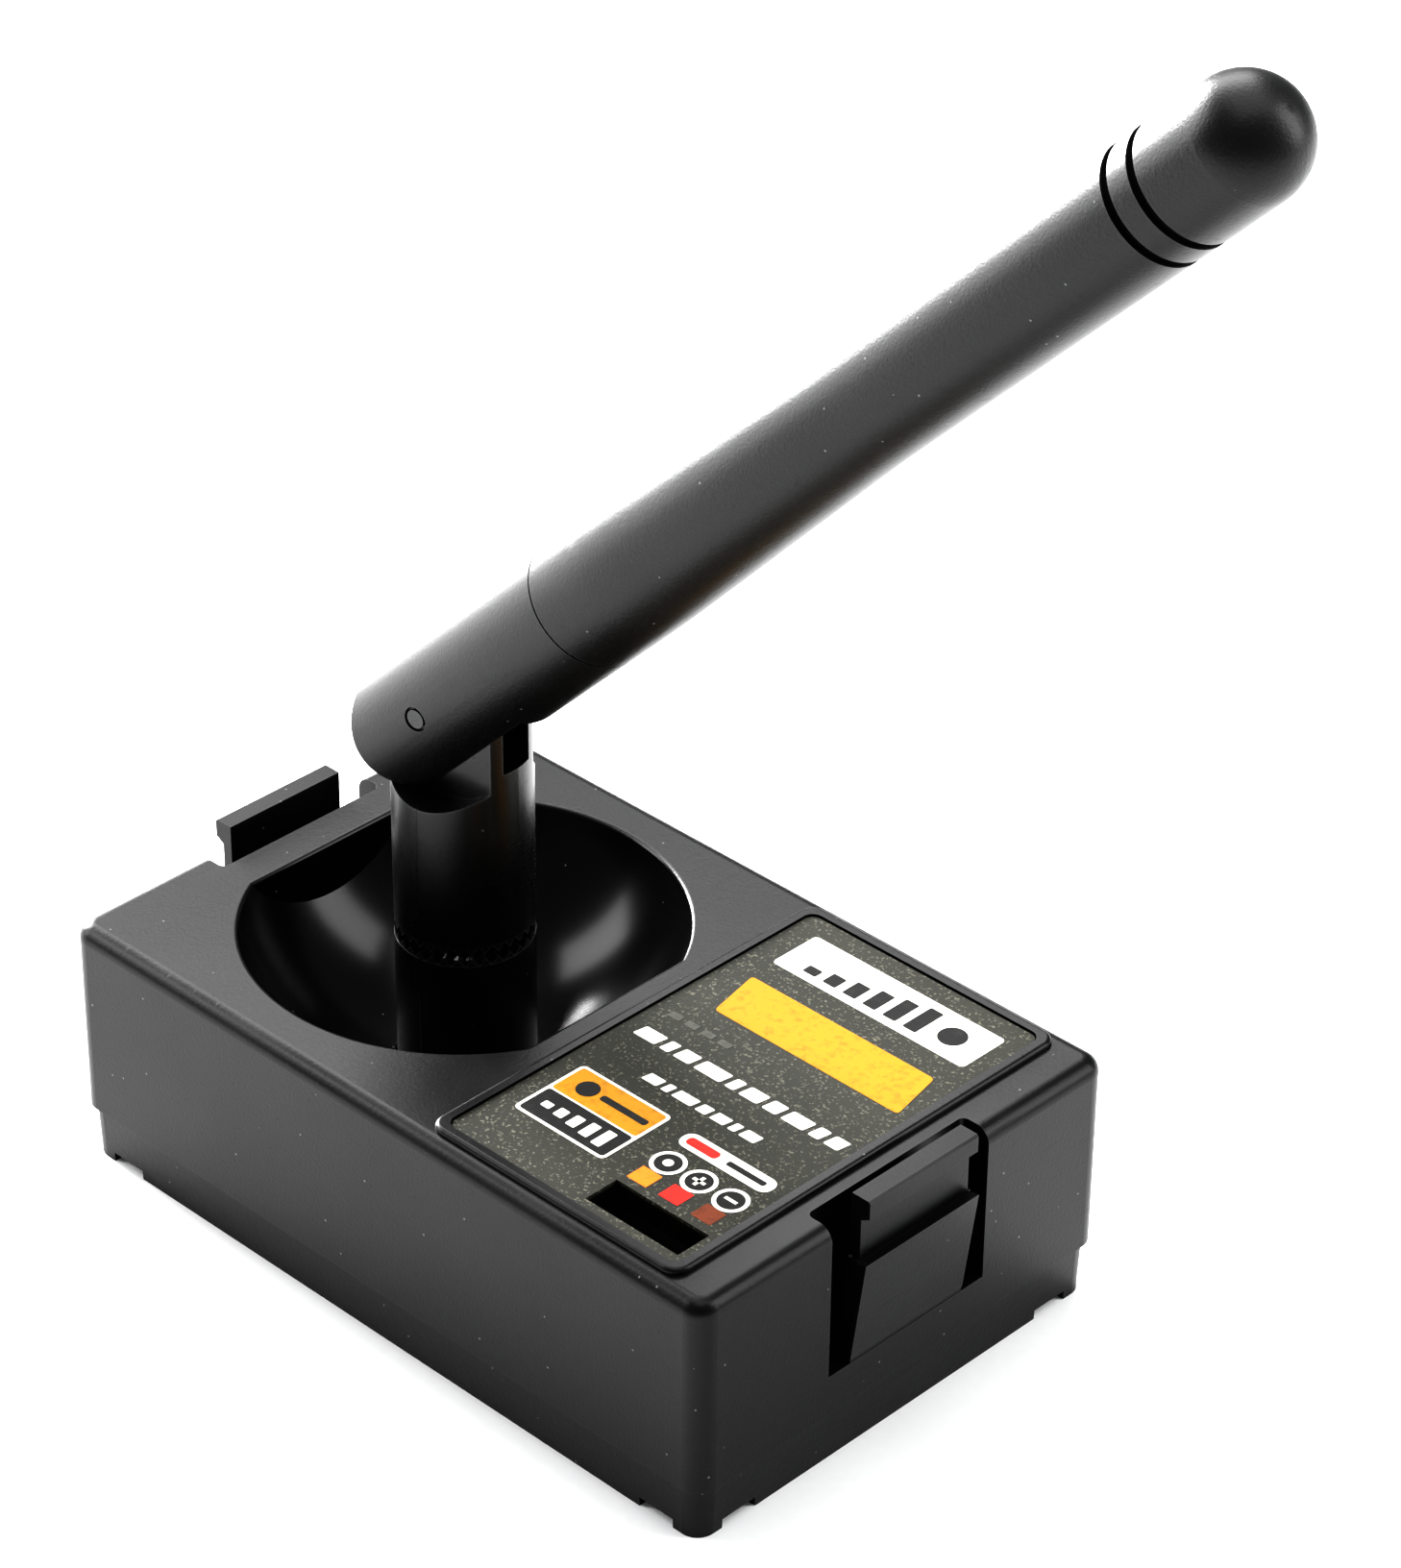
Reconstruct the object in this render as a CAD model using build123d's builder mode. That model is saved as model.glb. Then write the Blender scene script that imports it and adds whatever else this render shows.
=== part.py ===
"""Plug-in radio module with a swivelling, tilting antenna, as an assembly of separate pieces.

Frame: +Z up, origin at the middle of the flat base, +X along the long side.
The antenna stands in a round dish at the -X half, the label panel covers the +X half.
"""

import os
from math import cos, radians, sin, sqrt

from build123d import *

os.makedirs("parts", exist_ok=True)

# ---- Driving dimensions, millimetres and degrees ----
# Housing
length = 58.0
width = 37.0
height = 18.4
wall = 1.5
top_wall = 1.6
corner_radius = 1.5
top_fillet = 1.1
split_height = 4.0
base_step = 0.3
base_floor = 1.6
base_taper = 2.5
lip_height = 1.0
lip_wall = 1.0
lip_corner = 0.6
fit_gap = 0.1
move_gap = 0.3

# Feet: shallow notches beside each corner of the base
notch_start = 2.6
notch_length = 2.9
notch_height = 0.7
notch_depth = 1.2

# Dish: a ball-shaped hollow cut off by two upright walls
dish_x = -length / 2 + 18.2
dish_ball = 15.6
dish_depth = 11.15
dish_half = 13.15
dish_wall = 1.3
dish_rim = 0.3
seat_radius = 4.8

# Label panel
panel_end_gap = 3.2
panel_length = 21.65
panel_side_gap = 1.15
panel_rise = 0.45
rim_width = 0.8
panel_radius = 1.2
label_thickness = 0.25

# Three-way accessory port and five-way bay socket, both on a 2.54 pitch
pitch = 2.54
pin_size = 0.64
port_ways = 3
port_plug_width = 2.55
port_gap = 0.13
port_x = 20.45
port_y = -14.4
bay_ways = 5
bay_width = 2.6
bay_height = 8.5
bay_x = 11.0
bay_recess = 0.5
bay_hole = 0.8

# Latches
latch_half = 5.15
latch_slot = 1.95
latch_root = 7.0
latch_pocket = 2.2
latch_thick = 0.8
latch_lip = 1.0
latch_top_rise = 1.4
latch_lip_height = 1.3
pad_rise = 1.05
pad_top = 15.1
neck_out = 0.3
arm_side_gap = 0.25
pocket_wall = 1.1

# Screws
screw_inset_x = 4.2
screw_inset_y = 3.9
panel_screw_inset = 4.4
panel_screw_y = 9.9
screw_radius = 1.0
screw_head = 1.9
screw_head_height = 1.0
screw_length = 7.0
screw_boss = 2.2
thread_bite = 0.05

# Circuit board
board_thickness = 1.6
board_level = 9.0
board_margin = 0.5
board_post = 1.6
board_screw = 0.7
board_screw_length = 5.0
shield_x, shield_y, shield_h = 12.0, 13.0, 2.6
shield_wall = 0.3

# Swivel joint
swivel_angle = 7.0
mast_radius = 4.68
crown_level = 18.75
tooth_count = 32
tooth_height = 0.55
tooth_depth = 0.8
tooth_inset = 0.03
tooth_root = 0.1
spindle_radius = 2.6
run_fit = 0.05
spigot_radius = 3.4
nut_radius = 5.0
nut_height = 1.1
washer_height = 0.4
clip_height = 0.45
clip_radius = 3.9
bore_radius = 1.2
coax_radius = 0.6

# Tilt joint
hinge_level = 36.2
tilt_from_level = 45.0
tongue_half = 2.15
tongue_round = 3.45
fork_gap = 0.2
cheek_round = 6.5
coax_slot_half = 1.28
coax_slot_floor = 4.05
pin_radius = 0.65
pin_ring = 0.2
pin_ring_depth = 0.35

# Antenna
knuckle_radius = 4.58
knuckle_length = 14.95
web_inner = 3.75
web_end = 4.3
slot_end = 5.7
tip_radius = 3.88
whip_length = 81.2
taper_start = 20.5
taper_end = 44.0
taper_round = 150.0
groove_spots = (70.3, 72.5)
groove_width = 0.6
groove_depth = 0.45
seam_gap = 0.12
sheath_wall = 1.3

# ---- Places worked out from the dimensions ----
half_length = length / 2
half_width = width / 2
inner_length = length - 2 * wall
inner_width = width - 2 * wall
ceiling = height - top_wall
ball_level = height - dish_depth + dish_ball
dish_floor = height - dish_depth
boss_level = dish_floor - dish_wall
pocket_x = half_length - latch_pocket
panel_right = half_length - panel_end_gap
panel_x = panel_right - panel_length / 2
panel_width = width - 2 * panel_side_gap
label_length = panel_length - 2 * rim_width
label_width = panel_width - 2 * rim_width
label_level = height + panel_rise - 0.4
port_length = port_ways * pitch + 2 * port_gap
port_width = port_plug_width + port_gap
screw_spots = [
    (-half_length + screw_inset_x, half_width - screw_inset_y),
    (-half_length + screw_inset_x, -half_width + screw_inset_y),
    (half_length - panel_screw_inset, panel_screw_y),
    (half_length - panel_screw_inset, -panel_screw_y),
]
board_top = board_level + board_thickness
board_left = dish_x + dish_half + dish_wall + board_margin
board_right = pocket_x - pocket_wall - board_margin
board_x = (board_left + board_right) / 2
board_length = board_right - board_left
board_width = inner_width - 2 * board_margin
post_spots = [(board_left + 3.0, sy * (board_width / 2 - 2.4)) for sy in (-1, 1)]

swivel = radians(swivel_angle)
tilt = radians(tilt_from_level)
mast_plane = Plane(
    origin=(dish_x, 0, 0), x_dir=(cos(swivel), sin(swivel), 0), z_dir=(0, 0, 1)
)
hinge_plane = Plane(
    origin=(dish_x, 0, hinge_level), x_dir=(cos(swivel), sin(swivel), 0), z_dir=(sin(swivel), -cos(swivel), 0)
)
whip_axis = (cos(tilt) * cos(swivel), cos(tilt) * sin(swivel), sin(tilt))
whip_front = (sin(tilt) * cos(swivel), sin(tilt) * sin(swivel), -cos(tilt))
whip_plane = Plane(origin=(dish_x, 0, hinge_level), x_dir=whip_front, z_dir=whip_axis)
# Side view of the antenna: x is its front, y runs up the antenna.
whip_side = Plane(
    origin=(dish_x, 0, hinge_level), x_dir=whip_front, z_dir=(sin(swivel), -cos(swivel), 0)
)


def save(piece, name):
    """Label a finished piece and write it."""
    piece.part.label = name
    export_step(piece.part, f"parts/{name}.step")


def at_level(z):
    """Horizontal plane at a height."""
    return Plane.XY.offset(z)


# ---- Dish, used to shape the upper shell ----
with BuildPart() as dish_shell:
    with Locations((dish_x, 0, ball_level)):
        Sphere(dish_ball + dish_wall)
    with Locations((dish_x, 0, (boss_level + ceiling) / 2 + 0.2)):
        Box(2 * (dish_half + dish_wall), width, ceiling - boss_level + 0.4, mode=Mode.INTERSECT)
    with BuildSketch(at_level(boss_level)):
        with Locations((dish_x, 0)):
            Circle(nut_radius + 0.4)
    extrude(amount=dish_wall)

with BuildPart() as dish_hollow:
    with Locations((dish_x, 0, ball_level)):
        Sphere(dish_ball)
    with Locations((dish_x, 0, ball_level - dish_ball / 2)):
        Box(2 * dish_half, width, dish_ball, mode=Mode.INTERSECT)
    with BuildSketch(at_level(dish_floor)):
        with Locations((dish_x, 0)):
            Circle(seat_radius)
    extrude(amount=dish_wall)

# ---- Upper shell ----
with BuildPart() as upper_shell:
    with BuildSketch(at_level(split_height)):
        RectangleRounded(length, width, corner_radius)
    extrude(amount=height - split_height)
    fillet(upper_shell.faces().sort_by(Axis.Z)[-1].edges(), radius=top_fillet)
    # Raised frame round the label, with the label's shallow seat
    with BuildSketch(at_level(height)):
        with Locations((panel_x, 0)):
            RectangleRounded(panel_length, panel_width, panel_radius)
    extrude(amount=panel_rise)
    fillet(upper_shell.faces().sort_by(Axis.Z)[-1].edges(), radius=panel_rise * 0.7)
    with BuildSketch(at_level(label_level)):
        with Locations((panel_x, 0)):
            RectangleRounded(label_length, label_width, panel_radius - rim_width / 2)
    extrude(amount=panel_rise, mode=Mode.SUBTRACT)
    # Inner space
    with BuildSketch(at_level(split_height)):
        RectangleRounded(inner_length, inner_width, corner_radius * 0.6)
    extrude(amount=ceiling - split_height, mode=Mode.SUBTRACT)
    # Walls behind the latches
    with BuildSketch(at_level(split_height + lip_height + fit_gap)):
        for side in (-1, 1):
            with Locations((side * (pocket_x - pocket_wall / 2), 0)):
                Rectangle(pocket_wall, 2 * (latch_half + latch_slot + pocket_wall))
            for end in (-1, 1):
                with Locations(
                    (side * (pocket_x + latch_pocket - wall), end * (latch_half + latch_slot + pocket_wall / 2))
                ):
                    Rectangle(2 * (latch_pocket - wall) + 0.4, pocket_wall)
    extrude(amount=ceiling - split_height - lip_height)
    # Screw bosses and board posts
    with BuildSketch(at_level(split_height)):
        with Locations(*screw_spots):
            Circle(screw_boss)
    extrude(amount=ceiling - split_height)
    with BuildSketch(at_level(board_top)):
        with Locations(*post_spots):
            Circle(board_post)
    extrude(amount=ceiling - board_top)
    # Dish
    add(dish_shell.part)
    add(dish_hollow.part, mode=Mode.SUBTRACT)
    with BuildSketch(at_level(boss_level)):
        with Locations((dish_x, 0)):
            Circle(spigot_radius + fit_gap)
    extrude(amount=2 * dish_wall, mode=Mode.SUBTRACT)
    # Latch openings: a window in the wall with two side slots, and a bay in the top edge
    for side in (-1, 1):
        with BuildSketch(at_level(latch_root)):
            with Locations((side * (pocket_x + latch_pocket), 0)):
                RectangleRounded(2 * latch_pocket, 2 * (latch_half + latch_slot), 0.5)
        extrude(amount=height, mode=Mode.SUBTRACT)
    # Accessory port, screw holes
    with BuildSketch(at_level(ceiling)):
        with Locations((port_x, port_y)):
            Rectangle(port_length, port_width)
    extrude(amount=top_wall + panel_rise, mode=Mode.SUBTRACT)
    with BuildSketch(at_level(split_height)):
        with Locations(*screw_spots):
            Circle(screw_radius - thread_bite)
    extrude(amount=screw_length, mode=Mode.SUBTRACT)
    with BuildSketch(at_level(board_top)):
        with Locations(*post_spots):
            Circle(board_screw - thread_bite)
    extrude(amount=board_screw_length, mode=Mode.SUBTRACT)
    rim_edges = (
        upper_shell.edges()
        .filter_by_position(Axis.Z, height - 0.01, height + 0.01)
        .filter_by_position(Axis.X, dish_x - dish_half - 0.1, dish_x + dish_half + 0.1)
        .filter_by_position(Axis.Y, -dish_ball, dish_ball)
    )
    fillet(rim_edges, radius=dish_rim)
save(upper_shell, "upper_shell")

# ---- Base cover ----
with BuildPart() as base_cover:
    with BuildSketch(at_level(split_height)):
        RectangleRounded(length - 2 * base_step, width - 2 * base_step, corner_radius)
    extrude(amount=-split_height, taper=base_taper)
    with BuildSketch(at_level(base_floor)):
        RectangleRounded(inner_length - 2 * lip_wall, inner_width - 2 * lip_wall, lip_corner)
    extrude(amount=split_height - base_floor, mode=Mode.SUBTRACT)
    # Upstanding lip that fits inside the upper shell
    with BuildSketch(at_level(split_height)):
        RectangleRounded(inner_length - 2 * fit_gap, inner_width - 2 * fit_gap, corner_radius * 0.5)
        RectangleRounded(
            inner_length - 2 * lip_wall, inner_width - 2 * lip_wall, lip_corner, mode=Mode.SUBTRACT
        )
    extrude(amount=lip_height)
    with BuildSketch(at_level(base_floor)):
        with Locations(*screw_spots):
            Circle(screw_boss)
    extrude(amount=split_height - base_floor)
    with BuildSketch(at_level(split_height)):
        with Locations(*screw_spots):
            Circle(screw_boss + 2 * fit_gap)
    extrude(amount=lip_height, mode=Mode.SUBTRACT)
    with BuildSketch(at_level(0)):
        with Locations(*screw_spots):
            Circle(screw_radius + fit_gap)
    extrude(amount=split_height, mode=Mode.SUBTRACT)
    with BuildSketch(at_level(0)):
        with Locations(*screw_spots):
            Circle(screw_head + fit_gap)
    extrude(amount=screw_head_height + 0.2, mode=Mode.SUBTRACT)
    # Opening for the bay socket
    with BuildSketch(at_level(0)):
        with Locations((bay_x, 0)):
            Rectangle(bay_width + 2 * fit_gap, bay_ways * pitch + 4 * fit_gap)
    extrude(amount=base_floor, mode=Mode.SUBTRACT)
    # Notches beside the corners
    with BuildSketch(at_level(0)):
        for sx in (-1, 1):
            for sy in (-1, 1):
                with Locations((sx * (half_length - notch_start - notch_length / 2), sy * half_width)):
                    Rectangle(notch_length, 2 * notch_depth)
                with Locations((sx * half_length, sy * (half_width - notch_start - notch_length / 2))):
                    Rectangle(2 * notch_depth, notch_length)
    extrude(amount=notch_height, mode=Mode.SUBTRACT)
save(base_cover, "base_cover")

# ---- Label ----
with BuildPart() as label_sheet:
    with BuildSketch(at_level(label_level)):
        with Locations((panel_x, 0)):
            RectangleRounded(
                label_length - 2 * fit_gap, label_width - 2 * fit_gap, panel_radius - rim_width / 2 - fit_gap
            )
        with Locations((port_x, port_y)):
            Rectangle(port_length, port_width, mode=Mode.SUBTRACT)
    extrude(amount=label_thickness)
save(label_sheet, "label_sheet")


def pan_screw(block, spot, bottom, head_radius, head_height, shank_radius, shank_length):
    """Screw driven upwards from a level, with a cross recess in its head."""
    with Locations((spot[0], spot[1], bottom)):
        low = (Align.CENTER, Align.CENTER, Align.MIN)
        Cylinder(head_radius, head_height, align=low)
        Cylinder(shank_radius, head_height + shank_length, align=low)
        Box(head_radius * 1.3, head_radius * 0.28, head_height * 0.55, align=low, mode=Mode.SUBTRACT)
        Box(head_radius * 0.28, head_radius * 1.3, head_height * 0.55, align=low, mode=Mode.SUBTRACT)
    return block


with BuildPart() as housing_screws:
    for spot in screw_spots:
        pan_screw(
            housing_screws, spot, 0.2, screw_head, screw_head_height, screw_radius - thread_bite, screw_length
        )
save(housing_screws, "housing_screws")

with BuildPart() as board_screws:
    for spot in post_spots:
        pan_screw(
            board_screws, spot, board_level - 0.8, board_screw * 1.9, 0.8,
            board_screw - thread_bite, board_thickness + board_screw_length - 1.0
        )
save(board_screws, "board_screws")

# ---- Circuit board and what is on it ----
with BuildPart() as main_board:
    with BuildSketch(at_level(board_level)):
        with Locations((board_x, 0)):
            Rectangle(board_length, board_width)
        with Locations(*screw_spots):
            Circle(screw_boss + move_gap, mode=Mode.SUBTRACT)
        with Locations(*post_spots):
            Circle(board_screw + fit_gap, mode=Mode.SUBTRACT)
    extrude(amount=board_thickness)
save(main_board, "main_board")

port_pin_spots = [(port_x + (i - (port_ways - 1) / 2) * pitch, port_y) for i in range(port_ways)]
with BuildPart() as port_shroud:
    with BuildSketch(at_level(board_top)):
        with Locations((port_x, port_y)):
            Rectangle(port_length + 1.2, port_width + 1.2)
    extrude(amount=ceiling - board_top)
    with BuildSketch(at_level(board_top + 1.5)):
        with Locations((port_x, port_y)):
            Rectangle(port_length, port_width)
    extrude(amount=ceiling, mode=Mode.SUBTRACT)
    with BuildSketch(at_level(board_top)):
        with Locations(*port_pin_spots):
            Rectangle(pin_size, pin_size)
    extrude(amount=1.5, mode=Mode.SUBTRACT)
save(port_shroud, "port_shroud")

with BuildPart() as port_pins:
    for spot in port_pin_spots:
        with Locations((spot[0], spot[1], board_top)):
            Box(pin_size, pin_size, ceiling - board_top, align=(Align.CENTER, Align.CENTER, Align.MIN))
    chamfer(port_pins.faces().group_by(Axis.Z)[-1].edges(), length=pin_size * 0.25)
save(port_pins, "port_pins")

bay_pin_spots = [(bay_x, (i - (bay_ways - 1) / 2) * pitch) for i in range(bay_ways)]
with BuildPart() as bay_socket:
    with BuildSketch(at_level(bay_recess)):
        with Locations((bay_x, 0)):
            Rectangle(bay_width, bay_ways * pitch)
    extrude(amount=board_level - bay_recess)
    with BuildSketch(at_level(bay_recess)):
        with Locations(*bay_pin_spots):
            Rectangle(bay_hole, bay_hole)
    extrude(amount=bay_height - 2.0, mode=Mode.SUBTRACT)
save(bay_socket, "bay_socket")


def block_on_board(x, y, size_x, size_y, size_z, level):
    """Plain block standing at a level."""
    with Locations((x, y, level)):
        Box(size_x, size_y, size_z, align=(Align.CENTER, Align.CENTER, Align.MIN))


shield_cx = board_left + 1.2 + shield_x / 2
shield_cy = 1.5
with BuildPart() as shield_can:
    block_on_board(shield_cx, shield_cy, shield_x, shield_y, shield_h, board_top)
    fillet(shield_can.edges().filter_by(Axis.Z), radius=0.8)
    offset(amount=-shield_wall, openings=shield_can.faces().sort_by(Axis.Z)[0])
save(shield_can, "shield_can")

with BuildPart() as radio_chip:
    block_on_board(shield_cx + 1.5, shield_cy - 1.5, 5.0, 5.0, 0.9, board_top)
    with Locations((shield_cx - 0.2, shield_cy - 3.2, board_top + 0.8)):
        Cylinder(0.3, 0.4, mode=Mode.SUBTRACT)
save(radio_chip, "radio_chip")

with BuildPart() as crystal:
    block_on_board(shield_cx - 3.6, shield_cy + 4.0, 3.2, 2.5, 0.8, board_top)
    fillet(crystal.edges().filter_by(Axis.Z), radius=0.4)
save(crystal, "crystal")

with BuildPart() as controller_chip:
    block_on_board(board_x + 3.4, -9.6 + shield_cy / 2, 7.0, 5.0, 1.2, board_top)
save(controller_chip, "controller_chip")

with BuildPart() as capacitors:
    for y in (3.2, -1.6):
        with Locations((board_right - 4.3, y, board_top)):
            Cylinder(2.0, 4.6, align=(Align.CENTER, Align.CENTER, Align.MIN))
    fillet(capacitors.faces().group_by(Axis.Z)[-1].edges(), radius=0.4)
save(capacitors, "capacitors")

plug_x = board_left + 1.8
plug_y = 7.5
with BuildPart() as coax_plug:
    with Locations((plug_x, plug_y, board_level)):
        Cylinder(1.3, 1.9, align=(Align.CENTER, Align.CENTER, Align.MAX))
save(coax_plug, "coax_plug")

# The lead leaves the plug, runs under the dish and rises inside the mast.
lead_level = base_floor + coax_radius + 0.1
lead_points = [
    (plug_x - 1.36, plug_y, board_level - 1.1),
    (plug_x - 5.0, plug_y - 0.6, board_level - 1.6),
    (plug_x - 9.0, plug_y - 4.0, lead_level),
    (dish_x + 5.0, 0, lead_level),
    (dish_x, 0, lead_level),
    (dish_x, 0, hinge_level - coax_slot_floor - 1.0),
]
with BuildPart() as coax_lead:
    with BuildLine() as lead_path:
        FilletPolyline(*lead_points, radius=(1.6, 1.9, 2.2, 0.65))
    with BuildSketch(Plane(origin=lead_path.line @ 0, z_dir=lead_path.line % 0)):
        Circle(coax_radius)
    sweep()
save(coax_lead, "coax_lead")

# ---- Swivel joint ----
with BuildPart() as crown_tooth:
    with BuildSketch(Plane.YZ.offset(mast_radius - tooth_depth)):
        pitch_length = 2 * mast_radius * sin(radians(180 / tooth_count))
        Polygon(
            (-pitch_length * 0.46, -tooth_root), (pitch_length * 0.46, -tooth_root),
            (pitch_length * 0.46, 0), (0, tooth_height), (-pitch_length * 0.46, 0),
            align=None,
        )
    extrude(amount=tooth_depth)
    Cylinder(mast_radius - tooth_inset, 4 * tooth_height, mode=Mode.INTERSECT)

crown_root = crown_level + tooth_height
collar_root = crown_level - move_gap - tooth_height
with BuildPart() as swivel_collar:
    with BuildSketch(at_level(dish_floor)):
        with Locations((dish_x, 0)):
            Circle(mast_radius)
    extrude(amount=collar_root - dish_floor)
    with BuildSketch(at_level(boss_level - nut_height)):
        with Locations((dish_x, 0)):
            Circle(spigot_radius)
    extrude(amount=nut_height + 2 * dish_wall)
    with Locations(Location((dish_x, 0, collar_root), (0, 0, swivel_angle))):
        with PolarLocations(0, tooth_count):
            add(crown_tooth.part)
    with BuildSketch(at_level(0)):
        with Locations((dish_x, 0)):
            Circle(spindle_radius + run_fit)
    extrude(amount=height + 2, mode=Mode.SUBTRACT)
save(swivel_collar, "swivel_collar")

with BuildPart() as collar_nut:
    with BuildSketch(at_level(boss_level - nut_height)):
        with Locations((dish_x, 0)):
            RegularPolygon(nut_radius, 6)
            Circle(spigot_radius, mode=Mode.SUBTRACT)
    extrude(amount=nut_height)
save(collar_nut, "collar_nut")

washer_level = boss_level - nut_height - washer_height
with BuildPart() as spring_washer:
    with BuildSketch(at_level(washer_level)):
        with Locations((dish_x, 0)):
            Circle(clip_radius)
            Circle(spindle_radius + run_fit, mode=Mode.SUBTRACT)
    extrude(amount=washer_height)
save(spring_washer, "spring_washer")

clip_level = washer_level - move_gap - clip_height
clip_groove = spindle_radius - 0.45
with BuildPart() as retaining_clip:
    with BuildSketch(Plane(origin=(dish_x, 0, clip_level))):
        Circle(clip_radius)
        Circle(clip_groove, mode=Mode.SUBTRACT)
        with Locations((clip_radius, 0)):
            Rectangle(2 * clip_radius, 2 * clip_groove * 0.7, mode=Mode.SUBTRACT)
    extrude(amount=clip_height)
save(retaining_clip, "retaining_clip")

spindle_end = clip_level - 0.4
with BuildPart(mast_plane) as mast:
    with BuildSketch(mast_plane.offset(crown_root)):
        Circle(mast_radius)
    extrude(amount=hinge_level + tongue_round - crown_root)
    with BuildSketch(mast_plane.offset(spindle_end)):
        Circle(spindle_radius)
    extrude(amount=crown_root - spindle_end)
    # Shoulders beside the tongue, hollowed so that the fork's round cheeks pass
    for side in (-1, 1):
        with BuildSketch(hinge_plane.offset(side * tongue_half)):
            Circle(cheek_round + fork_gap)
            with Locations((0, mast_radius)):
                Rectangle(3 * mast_radius, 2 * mast_radius)
        extrude(amount=side * mast_radius, mode=Mode.SUBTRACT)
    # Tongue: rounded about the pin, stepped back behind it for the fork's web
    with BuildSketch(hinge_plane):
        with Locations((-(mast_radius + tongue_round), -(web_end + move_gap))):
            Rectangle(2 * mast_radius, 3 * mast_radius, align=(Align.CENTER, Align.MIN))
        with Locations((0, 0)):
            Rectangle(4 * mast_radius, 3 * mast_radius, align=(Align.CENTER, Align.MIN))
        Circle(tongue_round, mode=Mode.SUBTRACT)
    extrude(amount=mast_radius, both=True, mode=Mode.SUBTRACT)
    # Slot and bore for the coaxial lead
    with BuildSketch(hinge_plane):
        with Locations((-(bore_radius + fit_gap), -coax_slot_floor)):
            Rectangle(3 * mast_radius, 4 * mast_radius, align=(Align.MIN, Align.MIN))
    extrude(amount=coax_slot_half, both=True, mode=Mode.SUBTRACT)
    with BuildSketch(mast_plane.offset(spindle_end)):
        Circle(bore_radius)
    extrude(amount=hinge_level - coax_slot_floor - spindle_end, mode=Mode.SUBTRACT)
    with BuildSketch(hinge_plane):
        Circle(pin_radius + run_fit)
    extrude(amount=mast_radius, both=True, mode=Mode.SUBTRACT)
    # Groove for the retaining clip
    with BuildSketch(mast_plane.offset(clip_level)):
        Circle(spindle_radius + 1)
        Circle(clip_groove, mode=Mode.SUBTRACT)
    extrude(amount=clip_height, mode=Mode.SUBTRACT)
    # Crown of teeth round the foot, pointing down
    with Locations(Location((0, 0, crown_root), (180, 0, 0))):
        with PolarLocations(0, tooth_count):
            add(crown_tooth.part)
save(mast, "mast")

# ---- Tilt joint ----
fork_half = tongue_half + fork_gap
with BuildPart() as knuckle:
    with BuildSketch(whip_plane.offset(-cheek_round)):
        Circle(knuckle_radius)
    extrude(amount=cheek_round + knuckle_length)
    # Cheeks rounded about the pin
    with BuildSketch(whip_side):
        with Locations((0, -cheek_round)):
            Rectangle(4 * knuckle_radius, 2 * cheek_round)
        Circle(cheek_round, mode=Mode.SUBTRACT)
    extrude(amount=2 * knuckle_radius, both=True, mode=Mode.SUBTRACT)
    # Slot for the mast's tongue, open at the end and at the front
    with BuildSketch(whip_side):
        with Locations((-web_inner, -web_end)):
            Rectangle(4 * knuckle_radius, web_end + slot_end, align=(Align.MIN, Align.MIN))
        with Locations((0, -web_end)):
            Rectangle(4 * knuckle_radius, 2 * cheek_round, align=(Align.CENTER, Align.MAX))
    extrude(amount=fork_half, both=True, mode=Mode.SUBTRACT)
    with BuildSketch(whip_plane):
        Circle(bore_radius)
    extrude(amount=knuckle_length, mode=Mode.SUBTRACT)
    # Pin holes, each with a fine ring recess round the pin's end
    with BuildSketch(whip_side):
        Circle(pin_radius)
    extrude(amount=2 * knuckle_radius, both=True, mode=Mode.SUBTRACT)
    for side in (-1, 1):
        with BuildSketch(whip_side.offset(side * (knuckle_radius - pin_ring_depth))):
            Circle(pin_radius + pin_ring)
        extrude(amount=side * knuckle_radius, mode=Mode.SUBTRACT)
    # Spigot inside the sheath
    with BuildSketch(whip_plane.offset(knuckle_length)):
        Circle(knuckle_radius - sheath_wall - fit_gap)
        Circle(bore_radius, mode=Mode.SUBTRACT)
    extrude(amount=4.0)
save(knuckle, "whip_knuckle")

with BuildPart() as hinge_pins:
    for side in (-1, 1):
        with BuildSketch(whip_side.offset(side * (coax_slot_half + fit_gap))):
            Circle(pin_radius)
        extrude(amount=side * (knuckle_radius - coax_slot_half - fit_gap - 0.05))
save(hinge_pins, "hinge_pins")

sheath_start = knuckle_length + seam_gap
dome_start = whip_length - tip_radius
with BuildPart() as whip_sheath:
    with BuildSketch(whip_side):
        with BuildLine():
            Polyline(
                (0, whip_length - 4),
                (0, whip_length),
            )
            CenterArc((0, dome_start), tip_radius, 0, 90)
            FilletPolyline(
                (tip_radius, dome_start),
                (tip_radius, taper_end),
                (knuckle_radius, taper_start),
                (knuckle_radius, sheath_start),
                radius=taper_round,
            )
            Polyline(
                (knuckle_radius, sheath_start),
                (knuckle_radius - sheath_wall, sheath_start),
                (knuckle_radius - sheath_wall, sheath_start + 4.2),
                (tip_radius - sheath_wall, taper_end),
                (tip_radius - sheath_wall, whip_length - 6),
                (0, whip_length - 4),
            )
        make_face()
    revolve(axis=Axis(whip_side.origin, whip_axis))
    for spot in groove_spots:
        with BuildSketch(whip_plane.offset(spot - groove_width / 2)):
            Circle(tip_radius + 1)
            Circle(tip_radius - groove_depth, mode=Mode.SUBTRACT)
        extrude(amount=groove_width, mode=Mode.SUBTRACT)
save(whip_sheath, "whip_sheath")

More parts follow.
